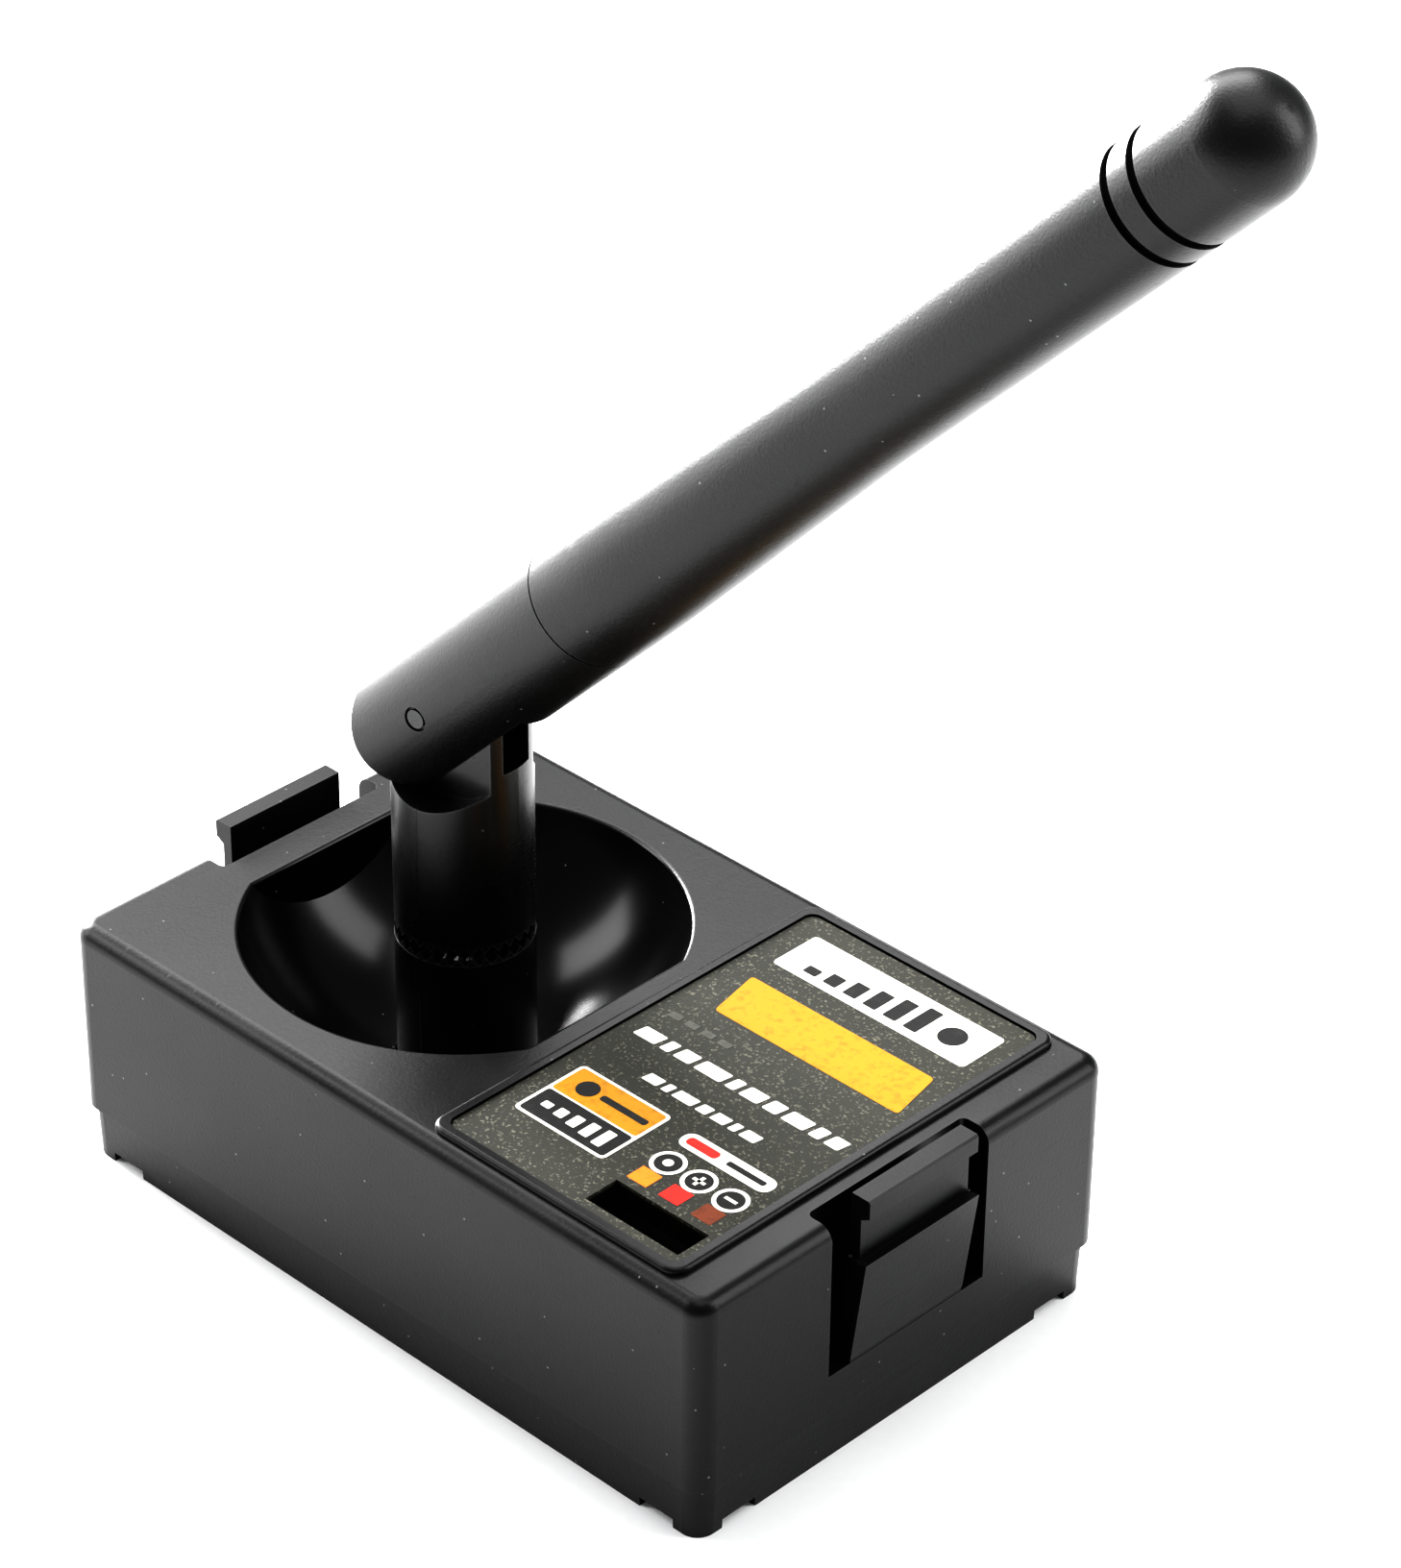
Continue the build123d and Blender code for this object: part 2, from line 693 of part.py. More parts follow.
# ---- Inside the antenna ----
core_radius = tip_radius - sheath_wall - fit_gap
sleeve_start = sheath_start + 6.0
sleeve_end = taper_end - 1.0
with BuildPart() as dipole_sleeve:
    with BuildSketch(whip_plane.offset(sleeve_start)):
        Circle(core_radius)
        Circle(core_radius - 0.3, mode=Mode.SUBTRACT)
    extrude(amount=sleeve_end - sleeve_start)
save(dipole_sleeve, "dipole_sleeve")

with BuildPart() as whip_coax:
    with BuildSketch(whip_plane.offset(slot_end + 0.5)):
        Circle(coax_radius)
    extrude(amount=sleeve_end + 1.0 - slot_end - 0.5)
save(whip_coax, "whip_coax")

with BuildPart() as radiator_rod:
    with BuildSketch(whip_plane.offset(sleeve_end + 1.0)):
        Circle(coax_radius * 0.7)
    extrude(amount=groove_spots[0] - sleeve_end - 2.0)
save(radiator_rod, "radiator_rod")

with BuildPart() as rod_spacer:
    with BuildSketch(whip_plane.offset(groove_spots[0] - 6.0)):
        Circle(core_radius)
        Circle(coax_radius * 0.7, mode=Mode.SUBTRACT)
    extrude(amount=3.0)
save(rod_spacer, "rod_spacer")


# ---- Latches ----
def latch(side):
    """Snap arm in one short wall: lip for a finger, neck, and a wedge that holds in the bay."""
    face = half_length
    inner = face + neck_out - latch_thick
    foot = latch_root + move_gap
    top = height + latch_top_rise
    with BuildPart() as arm:
        with BuildSketch(Plane.XZ):
            with BuildLine():
                Polyline(
                    (face - latch_thick * 1.4, foot),
                    (face, foot),
                    (face + pad_rise, pad_top),
                    (face + neck_out, pad_top - 0.15),
                    (face + neck_out, top - latch_lip_height - 0.4),
                    (face + latch_lip, top - latch_lip_height),
                    (face + latch_lip, top - 0.15),
                    (face + latch_lip - 0.15, top),
                    (inner, top),
                    (inner, pad_top),
                    (face - latch_thick * 1.4, foot),
                )
            make_face()
        extrude(amount=latch_half, both=True)
        # The neck and lip are a little narrower than the wedge
        for end in (-1, 1):
            with Locations((face, end * latch_half, pad_top)):
                Box(
                    6, 2 * arm_side_gap, height, align=(Align.CENTER, Align.CENTER, Align.MIN),
                    mode=Mode.SUBTRACT,
                )
        if side < 0:
            mirror(arm.part, about=Plane.YZ, mode=Mode.REPLACE)
    return arm


save(latch(-1), "latch_left")
save(latch(1), "latch_right")
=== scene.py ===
"""Looks for a plug-in radio module with a folding antenna: finishes, printed label, stage and lights.

The measured model is loaded as a fixed frame, and the label print rides on its root body. Sizes are in metres.
"""

from math import cos, radians, sin

import bpy
from bpy.props import FloatProperty, FloatVectorProperty, PointerProperty
from mathutils import Matrix, Vector


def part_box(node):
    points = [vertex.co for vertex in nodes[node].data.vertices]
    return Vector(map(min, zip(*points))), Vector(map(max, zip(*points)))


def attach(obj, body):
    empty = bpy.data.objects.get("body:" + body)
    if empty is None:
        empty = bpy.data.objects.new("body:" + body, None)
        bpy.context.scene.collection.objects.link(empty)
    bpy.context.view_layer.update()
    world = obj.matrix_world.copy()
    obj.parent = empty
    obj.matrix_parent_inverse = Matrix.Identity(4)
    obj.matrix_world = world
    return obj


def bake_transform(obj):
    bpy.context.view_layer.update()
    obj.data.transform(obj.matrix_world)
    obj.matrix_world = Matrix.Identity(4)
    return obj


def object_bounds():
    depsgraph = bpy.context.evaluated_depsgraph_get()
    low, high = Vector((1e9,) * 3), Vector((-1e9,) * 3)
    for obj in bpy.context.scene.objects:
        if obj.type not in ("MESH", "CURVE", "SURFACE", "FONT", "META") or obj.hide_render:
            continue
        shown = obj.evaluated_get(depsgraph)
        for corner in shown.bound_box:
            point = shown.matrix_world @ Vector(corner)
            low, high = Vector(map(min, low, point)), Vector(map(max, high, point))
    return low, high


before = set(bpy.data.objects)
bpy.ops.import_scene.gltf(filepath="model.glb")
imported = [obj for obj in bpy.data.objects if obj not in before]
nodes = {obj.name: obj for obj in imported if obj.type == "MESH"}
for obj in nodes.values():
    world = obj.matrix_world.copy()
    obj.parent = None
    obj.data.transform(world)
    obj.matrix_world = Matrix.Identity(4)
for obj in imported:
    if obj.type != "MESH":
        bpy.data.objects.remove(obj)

bl_info = {
    "name": "Radio Module Looks",
    "version": (1, 0, 0),
    "blender": (4, 5, 0),
    "location": "3D View > Sidebar > Radio Module",
    "description": "Finishes, label print and stage for a plug-in radio module with a folding antenna",
    "category": "Object",
}

MM = 0.001
cad_box = [list(corner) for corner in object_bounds()]
label_high = Vector(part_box("label_sheet")[1])
shell_high = Vector(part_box("upper_shell")[1])

# The antenna's swivel axis and hinge, the dish and the angle the mast is turned to
DISH_X = -10.8
DISH_HALF = 13.2
DISH_RADIUS = 15.7
DISH_TOP = 18.3
SWIVEL = radians(7.0)
MAST_FACE = (cos(SWIVEL), sin(SWIVEL))
PRINT_LIFT = 0.004 * MM
INK = 0.012 * MM
WEB_GAP = 0.3 * MM
WEB_SET_BACK = 0.03 * MM
WEB_DEPTH = 0.9 * MM

# How the camera stands: its turn round the object, its height angle and its tilt, then what it looks at
CAMERA_TURN, CAMERA_HEIGHT, CAMERA_ROLL = radians(44.103), radians(32.565), radians(0.613)
CAMERA_TARGET = Vector((0.0, 0.0, 10.357))
CAMERA_AWAY, CAMERA_ACROSS, CAMERA_UP = 332.67, 7.827, 19.909
LIGHT_AIM = (0.0, 0.0, 0.02)
ANTENNA_AIM = (0.02, 0.0, 0.07)
BACK_AIM = (0.02, 0.0, 0.06)


# ---- Small helpers ----
def srgb(code):
    """An sRGB hex colour as linear RGBA."""
    parts = [int(code[i : i + 2], 16) / 255 for i in (0, 2, 4)]
    return tuple(c / 12.92 if c <= 0.04045 else ((c + 0.055) / 1.055) ** 2.4 for c in parts) + (1.0,)


def clear_selection():
    if bpy.context.object and bpy.context.object.mode != "OBJECT":
        bpy.ops.object.mode_set(mode="OBJECT")
    bpy.ops.object.select_all(action="DESELECT")


def set_in_mesh(obj):
    """Puts the object's place, turn and size into its mesh."""
    clear_selection()
    obj.select_set(True)
    bpy.context.view_layer.objects.active = obj
    bpy.ops.object.transform_apply(location=True, rotation=True, scale=True)
    return obj


def join_as(name, pieces):
    clear_selection()
    for piece in pieces:
        piece.select_set(True)
    bpy.context.view_layer.objects.active = pieces[0]
    if len(pieces) > 1:
        bpy.ops.object.join()
    pieces[0].name = pieces[0].data.name = name
    return pieces[0]


def dress(names, material):
    """Gives measured pieces their finish, in their own material slots."""
    for name in names:
        for spot in nodes[name].material_slots:
            spot.material = material


def add_node(tree, kind, sockets=None, links=None, **settings):
    """Adds a node with its settings, its socket values and what feeds its sockets."""
    node = tree.nodes.new(kind)
    for key, value in settings.items():
        setattr(node, key, value)
    for key, value in (sockets or {}).items():
        node.inputs[key].default_value = value
    for key, output in (links or {}).items():
        tree.links.new(output, node.inputs[key])
    return node


def new_finish(name, **values):
    """A material with its shader, and the values that are the same all over it."""
    material = bpy.data.materials.new(name)
    material.use_nodes = True
    tree = material.node_tree
    shader = tree.nodes["Principled BSDF"]
    for key, value in values.items():
        shader.inputs[key.replace("_", " ")].default_value = value
    return material, tree, shader


def per_mm(size):
    """The texture scale at which one cell is this many millimetres."""
    return 1.0 / (size * MM)


def plastic(name, deep, pale, grain, relief, satin, specks=0.0, edge=0.0, ior=1.5, polish=None, sheen=0.5):
    """Moulded plastic: cloudy colour, fine tool texture, hairline scratches, dust specks and rubbed edges.

    grain is the tool texture's size in millimetres, relief its height, satin its lowest and highest roughness.
    specks is how strongly dust shows and edge how pale rubbed edges are. sheen is the specular level, under the
    usual 0.5 where the real surface is darker. polish is the roughness inside the dish, whose mould was polished.
    """
    material, tree, shader = new_finish(name, IOR=ior, Specular_IOR_Level=sheen)
    place = add_node(tree, "ShaderNodeTexCoord").outputs["Object"]
    cloud = add_node(tree, "ShaderNodeTexNoise", {"Scale": per_mm(9), "Detail": 3.0}, {"Vector": place})
    tint = add_node(tree, "ShaderNodeValToRGB", links={"Fac": cloud.outputs["Fac"]})
    tint.color_ramp.elements[0].position, tint.color_ramp.elements[1].position = 0.3, 0.7
    tint.color_ramp.elements[0].color, tint.color_ramp.elements[1].color = srgb(deep), srgb(pale)
    fine = add_node(tree, "ShaderNodeTexNoise", {"Scale": per_mm(grain), "Detail": 2.0}, {"Vector": place})
    stretch = add_node(
        tree,
        "ShaderNodeMapping",
        {"Rotation": (0.4, 0.2, 0.7), "Scale": (1.0, 0.05, 1.0)},
        {"Vector": place},
    )
    hair = add_node(
        tree,
        "ShaderNodeTexNoise",
        {"Scale": per_mm(0.35), "Detail": 1.0},
        {"Vector": stretch.outputs["Vector"]},
    )
    scratch = add_node(
        tree,
        "ShaderNodeMapRange",
        {"From Min": 0.7, "From Max": 0.76},
        {"Value": hair.outputs["Fac"]},
    )
    rough = add_node(
        tree,
        "ShaderNodeMapRange",
        {"From Min": 0.25, "From Max": 0.75, "To Min": satin[0], "To Max": satin[1]},
        {"Value": cloud.outputs["Fac"]},
    )
    roughness = add_node(
        tree,
        "ShaderNodeMath",
        {1: 0.08},
        {0: scratch.outputs["Result"], 2: rough.outputs["Result"]},
        operation="MULTIPLY_ADD",
    )
    dust = add_node(tree, "ShaderNodeTexVoronoi", {"Scale": per_mm(1.7)}, {"Vector": place})
    fleck = add_node(
        tree,
        "ShaderNodeMapRange",
        {"From Min": 0.05, "From Max": 0.035, "To Max": specks},
        {"Value": dust.outputs["Distance"]},
    )
    worn = add_node(tree, "ShaderNodeBevel", {"Radius": 0.25 * MM}, samples=4)
    flat = add_node(tree, "ShaderNodeNewGeometry")
    turned = add_node(
        tree,
        "ShaderNodeVectorMath",
        links={0: worn.outputs["Normal"], 1: flat.outputs["Normal"]},
        operation="DOT_PRODUCT",
    )
    rubbed = add_node(
        tree,
        "ShaderNodeMapRange",
        {"From Min": 0.995, "From Max": 0.85, "To Max": edge},
        {"Value": turned.outputs["Value"]},
    )
    mark = add_node(
        tree,
        "ShaderNodeMath",
        links={0: fleck.outputs["Result"], 1: rubbed.outputs["Result"]},
        operation="MAXIMUM",
    )
    colour = add_node(
        tree,
        "ShaderNodeMixRGB",
        {"Color2": srgb("8A8B8C")},
        {"Fac": mark.outputs["Value"], "Color1": tint.outputs["Color"]},
    )
    bump = add_node(
        tree,
        "ShaderNodeBump",
        {"Distance": relief * MM, "Strength": 1.0},
        {"Height": fine.outputs["Fac"]},
    )
    tree.links.new(colour.outputs["Color"], shader.inputs["Base Color"])
    tree.links.new(bump.outputs["Normal"], shader.inputs["Normal"])
    last = roughness.outputs["Value"]
    if polish is not None:
        # The dish: inside its ball, between its two walls and below its rim
        axes = add_node(tree, "ShaderNodeSeparateXYZ", links={"Vector": place})
        across = add_node(
            tree,
            "ShaderNodeMath",
            {1: DISH_X * MM},
            {0: axes.outputs["X"]},
            operation="SUBTRACT",
        )
        reach = add_node(
            tree,
            "ShaderNodeCombineXYZ",
            links={"X": across.outputs["Value"], "Y": axes.outputs["Y"]},
        )
        far = add_node(tree, "ShaderNodeVectorMath", links={0: reach.outputs["Vector"]}, operation="LENGTH")
        width = add_node(tree, "ShaderNodeMath", links={0: across.outputs["Value"]}, operation="ABSOLUTE")
        inside = add_node(
            tree,
            "ShaderNodeMath",
            {1: DISH_RADIUS * MM},
            {0: far.outputs["Value"]},
            operation="LESS_THAN",
        )
        between = add_node(
            tree,
            "ShaderNodeMath",
            {1: DISH_HALF * MM},
            {0: width.outputs["Value"]},
            operation="LESS_THAN",
        )
        below = add_node(
            tree,
            "ShaderNodeMath",
            {1: DISH_TOP * MM},
            {0: axes.outputs["Z"]},
            operation="LESS_THAN",
        )
        pair = add_node(
            tree,
            "ShaderNodeMath",
            links={0: inside.outputs["Value"], 1: between.outputs["Value"]},
            operation="MULTIPLY",
        )
        zone = add_node(
            tree,
            "ShaderNodeMath",
            links={0: pair.outputs["Value"], 1: below.outputs["Value"]},
            operation="MULTIPLY",
        )
        gloss = add_node(
            tree,
            "ShaderNodeMapRange",
            {"To Max": polish},
            {"Value": zone.outputs["Value"], "To Min": last},
        )
        calm = add_node(
            tree,
            "ShaderNodeMapRange",
            {"To Min": relief * MM, "To Max": relief * 0.12 * MM},
            {"Value": zone.outputs["Value"]},
        )
        tree.links.new(calm.outputs["Result"], bump.inputs["Distance"])
        last = gloss.outputs["Result"]
    tree.links.new(last, shader.inputs["Roughness"])
    return material


def metal(name, bright, dull, roughness, lay=(1.0, 1.0, 1.0), cell=0.4):
    """Bare or plated metal: patches of brightness, and a drawn or rolled lay in its roughness."""
    material, tree, shader = new_finish(name, Metallic=1.0)
    place = add_node(tree, "ShaderNodeTexCoord").outputs["Object"]
    drawn = add_node(tree, "ShaderNodeMapping", {"Scale": lay}, {"Vector": place})
    lines = add_node(
        tree,
        "ShaderNodeTexNoise",
        {"Scale": per_mm(cell), "Detail": 4.0},
        {"Vector": drawn.outputs["Vector"]},
    )
    patches = add_node(tree, "ShaderNodeTexNoise", {"Scale": per_mm(3), "Detail": 2.0}, {"Vector": place})
    tone = add_node(
        tree,
        "ShaderNodeMixRGB",
        {"Color1": srgb(bright), "Color2": srgb(dull)},
        {"Fac": patches.outputs["Fac"]},
    )
    rough = add_node(
        tree,
        "ShaderNodeMapRange",
        {"From Min": 0.3, "From Max": 0.7, "To Min": roughness * 0.7, "To Max": roughness * 1.4},
        {"Value": lines.outputs["Fac"]},
    )
    bump = add_node(tree, "ShaderNodeBump", {"Distance": 0.008 * MM}, {"Height": lines.outputs["Fac"]})
    tree.links.new(tone.outputs["Color"], shader.inputs["Base Color"])
    tree.links.new(rough.outputs["Result"], shader.inputs["Roughness"])
    tree.links.new(bump.outputs["Normal"], shader.inputs["Normal"])
    return material


def ink(name, colour, patchy):
    """Screen-printed ink on film: slightly uneven cover, with a fine mesh in its gloss. Both colours are linear."""
    material, tree, shader = new_finish(name, IOR=1.5, Specular_IOR_Level=0.15)
    place = add_node(tree, "ShaderNodeTexCoord").outputs["Object"]
    cover = add_node(tree, "ShaderNodeTexNoise", {"Scale": per_mm(0.5), "Detail": 4.0}, {"Vector": place})
    tone = add_node(tree, "ShaderNodeMixRGB", {"Color1": patchy, "Color2": colour})
    spread = add_node(
        tree,
        "ShaderNodeMapRange",
        {"From Min": 0.25, "From Max": 0.5},
        {"Value": cover.outputs["Fac"]},
    )
    tree.links.new(spread.outputs["Result"], tone.inputs["Fac"])
    mesh = add_node(tree, "ShaderNodeTexNoise", {"Scale": per_mm(0.15), "Detail": 1.0}, {"Vector": place})
    rough = add_node(
        tree,
        "ShaderNodeMapRange",
        {"To Min": 0.45, "To Max": 0.6},
        {"Value": mesh.outputs["Fac"]},
    )
    bump = add_node(tree, "ShaderNodeBump", {"Distance": 0.003 * MM}, {"Height": mesh.outputs["Fac"]})
    tree.links.new(tone.outputs["Color"], shader.inputs["Base Color"])
    tree.links.new(rough.outputs["Result"], shader.inputs["Roughness"])
    tree.links.new(bump.outputs["Normal"], shader.inputs["Normal"])
    return material


# ---- Sizes and colours a user would change ----
class RadioLabelSettings(bpy.types.PropertyGroup):
    ink_amber: FloatVectorProperty(
        name="Amber ink",
        description="Colour of the broad printed band",
        default=srgb("B07A0E")[:3],
        size=3,
        min=0,
        max=1,
        subtype="COLOR",
    )
    ink_white: FloatVectorProperty(
        name="White ink",
        description="Colour of the plate and dashes",
        default=srgb("D2D0C9")[:3],
        size=3,
        min=0,
        max=1,
        subtype="COLOR",
    )
    bar_width: FloatProperty(
        name="Bar width",
        description="Width of a printed level bar",
        default=1.1 * MM,
        unit="LENGTH",
        subtype="DISTANCE",
    )
    dash_height: FloatProperty(
        name="Dash height",
        description="Height of a printed dash",
        default=1.15 * MM,
        unit="LENGTH",
        subtype="DISTANCE",
    )
    ring_width: FloatProperty(
        name="Ring width",
        description="Width of the white ring round a contact mark",
        default=0.3 * MM,
        unit="LENGTH",
        subtype="DISTANCE",
    )


class RadioStageSettings(bpy.types.PropertyGroup):
    floor_size: FloatProperty(
        name="Floor size",
        description="Side of the floor",
        default=8.0,
        unit="LENGTH",
        subtype="DISTANCE",
    )
    floor_colour: FloatVectorProperty(
        name="Floor colour",
        description="Colour of the floor",
        default=srgb("F4F4F4")[:3],
        size=3,
        min=0,
        max=1,
        subtype="COLOR",
    )
    lens: FloatProperty(
        name="Lens",
        description="Focal length of the camera",
        default=116.87,
        subtype="DISTANCE_CAMERA",
    )
    key_power: FloatProperty(
        name="Key power",
        description="Power of the overhead soft box",
        default=2.4,
        unit="POWER",
    )
    side_power: FloatProperty(
        name="Side power",
        description="Power of each side soft box",
        default=1.2,
        unit="POWER",
    )


# ---- Pieces ----
class RADIO_OT_housing(bpy.types.Operator):
    """Finishes the housing, its base and the two latches"""

    bl_idname = "radio.housing"
    bl_label = "Housing"

    def execute(self, context):
        # Moulded ABS with a spark-eroded texture: near-black, satin, with a fine grain; the dish's mould was polished
        shell = plastic(
            "moulded_abs_housing",
            "040404",
            "080808",
            0.22,
            0.01,
            (0.3, 0.38),
            specks=0.5,
            edge=0.03,
            ior=1.53,
            polish=0.2,
            sheen=0.2,
        )
        dress(["upper_shell"], shell)
        # The same ABS from a second mould, a little duller from handling
        base = plastic(
            "moulded_abs_base",
            "040404",
            "080808",
            0.25,
            0.012,
            (0.34, 0.42),
            specks=0.4,
            edge=0.03,
            ior=1.53,
            sheen=0.2,
        )
        dress(["base_cover", "latch_left", "latch_right"], base)
        return {"FINISHED"}


class RADIO_OT_flexures(bpy.types.Operator):
    """Makes the thin webs that the two latches bend on"""

    bl_idname = "radio.flexures"
    bl_label = "Latch webs"

    def execute(self, context):
        material = nodes["latch_right"].material_slots[0].material
        for side, body in ((1, "latch_right"), (-1, "latch_left")):
            low, high = (Vector(corner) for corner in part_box(body))
            clear_selection()
            root, foot = low.z - WEB_GAP, low.z
            face, depth = shell_high.x - WEB_SET_BACK, WEB_DEPTH
            bpy.ops.mesh.primitive_cube_add(
                size=1.0,
                location=(side * (face - depth / 2), 0.0, (root + foot) / 2),
            )
            web = context.object
            web.name = web.data.name = "flexure_" + body[6:]
            web.scale = (depth, high.y - low.y - 2 * WEB_SET_BACK, foot - root + 2 * WEB_SET_BACK)
            set_in_mesh(web)
            bpy.ops.object.mode_set(mode="EDIT")
            bpy.ops.mesh.select_all(action="SELECT")
            bpy.ops.mesh.bevel(offset=0.02 * MM, segments=2)
            bpy.ops.mesh.subdivide(number_cuts=3)
            bpy.ops.mesh.normals_make_consistent(inside=False)
            bpy.ops.object.mode_set(mode="OBJECT")
            web.data.materials.append(material)
            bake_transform(web)
        return {"FINISHED"}


class RADIO_OT_label_film(bpy.types.Operator):
    """Finishes the label's film"""

    bl_idname = "radio.label_film"
    bl_label = "Label film"

    def execute(self, context):
        # Polycarbonate film printed dark on its back: olive-grey, with fine pale flecks in the print
        material, tree, shader = new_finish("polycarbonate_label_film", IOR=1.58, Specular_IOR_Level=0.12)
        place = add_node(tree, "ShaderNodeTexCoord").outputs["Object"]
        # Flecks are 0.2 mm, coarser than the real ones, so that they show
        flecks = add_node(
            tree,
            "ShaderNodeTexNoise",
            {"Scale": per_mm(0.2), "Detail": 1.0},
            {"Vector": place},
        )
        bright = add_node(
            tree,
            "ShaderNodeMapRange",
            {"From Min": 0.58, "From Max": 0.75, "To Max": 0.55},
            {"Value": flecks.outputs["Fac"]},
        )
        cloud = add_node(tree, "ShaderNodeTexNoise", {"Scale": per_mm(6), "Detail": 3.0}, {"Vector": place})
        ground = add_node(
            tree,
            "ShaderNodeMixRGB",
            {"Color1": srgb("24241F"), "Color2": srgb("32322B")},
            {"Fac": cloud.outputs["Fac"]},
        )
        colour = add_node(
            tree,
            "ShaderNodeMixRGB",
            {"Color2": srgb("7C7A6C")},
            {"Fac": bright.outputs["Result"], "Color1": ground.outputs["Color"]},
        )
        rough = add_node(
            tree,
            "ShaderNodeMapRange",
            {"To Min": 0.48, "To Max": 0.64},
            {"Value": flecks.outputs["Fac"]},
        )
        bump = add_node(tree, "ShaderNodeBump", {"Distance": 0.006 * MM}, {"Height": flecks.outputs["Fac"]})
        tree.links.new(colour.outputs["Color"], shader.inputs["Base Color"])
        tree.links.new(rough.outputs["Result"], shader.inputs["Roughness"])
        tree.links.new(bump.outputs["Normal"], shader.inputs["Normal"])
        dress(["label_sheet"], material)
        return {"FINISHED"}


def printed_patch(x, y, width, height, corner, layer, cut=0.0):
    """A rounded patch of ink on the label, its lower edge moved along by cut. Layer 0 lies on the film."""
    clear_selection()
    level = label_high.z + PRINT_LIFT + layer * INK
    bpy.ops.mesh.primitive_plane_add(size=1.0, location=(x * MM, y * MM, level))
    patch = bpy.context.object
    patch.scale = (width * MM, height * MM, 1.0)
    set_in_mesh(patch)
    for point in patch.data.vertices:
        if point.co.y < y * MM:
            point.co.x += cut * MM
    bpy.ops.object.mode_set(mode="EDIT")
    bpy.ops.mesh.select_all(action="SELECT")
    if corner:
        bpy.ops.mesh.bevel(affect="VERTICES", offset=corner * MM, segments=5)
    bpy.ops.mesh.extrude_region_move(TRANSFORM_OT_translate={"value": (0, 0, INK)})
    bpy.ops.mesh.select_all(action="SELECT")
    bpy.ops.mesh.normals_make_consistent(inside=False)
    bpy.ops.object.mode_set(mode="OBJECT")
    return patch


def printed_disc(x, y, radius, layer):
    """A round dot of ink on the label."""
    clear_selection()
    level = label_high.z + PRINT_LIFT + layer * INK
    bpy.ops.mesh.primitive_circle_add(
        vertices=48,
        radius=radius * MM,
        fill_type="NGON",
        location=(x * MM, y * MM, level),
    )
    disc = set_in_mesh(bpy.context.object)
    bpy.ops.object.mode_set(mode="EDIT")
    bpy.ops.mesh.select_all(action="SELECT")
    bpy.ops.mesh.extrude_region_move(TRANSFORM_OT_translate={"value": (0, 0, INK)})
    bpy.ops.mesh.select_all(action="SELECT")
    bpy.ops.mesh.normals_make_consistent(inside=False)
    bpy.ops.object.mode_set(mode="OBJECT")
    return disc


def finish_print(name, patches, material):
    piece = join_as(name, patches)
    piece.data.materials.clear()
    piece.data.materials.append(material)
    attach(piece, "root")
    return piece


